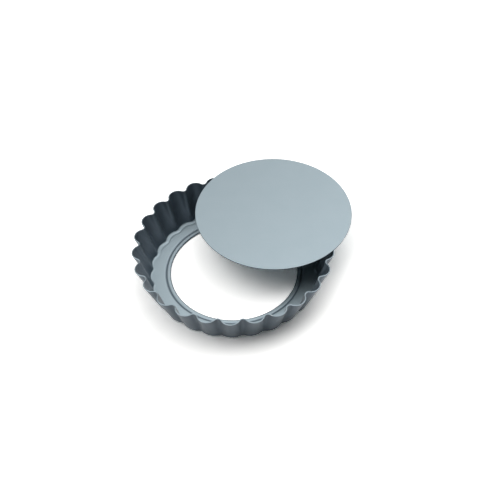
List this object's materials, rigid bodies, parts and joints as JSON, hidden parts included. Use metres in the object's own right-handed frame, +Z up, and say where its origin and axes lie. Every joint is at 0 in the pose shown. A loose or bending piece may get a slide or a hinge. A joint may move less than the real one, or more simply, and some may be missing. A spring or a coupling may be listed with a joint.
{
  "type": "tart pan",
  "caption": "Small round fluted tart tin in two pieces: a shallow flaring fluted ring with an inward ledge and a plain flat loose base lying on its rim.",
  "frame": {"origin": "on the table, in the middle of the ring's centre hole", "axes": "+Z up along the ring's axis, out of the open top; the loose base is pushed towards +X and +Y"},
  "size_m": [0.1104, 0.1125, 0.0206],
  "materials": {
    "ring_coating": "satin blue-grey non-stick coating on pressed steel",
    "base_coating": "satin blue-grey non-stick coating on flat steel plate"
  },
  "bodies": {
    "ring": {"fluted_ring": "ring_coating"},
    "base": {"loose_base": "base_coating"}
  },
  "joints": [
    {"name": "base_lift", "type": "slide", "parent": "ring", "child": "base", "axis": [0, 0, 1], "range_m": [0, 0.06]}
  ]
}
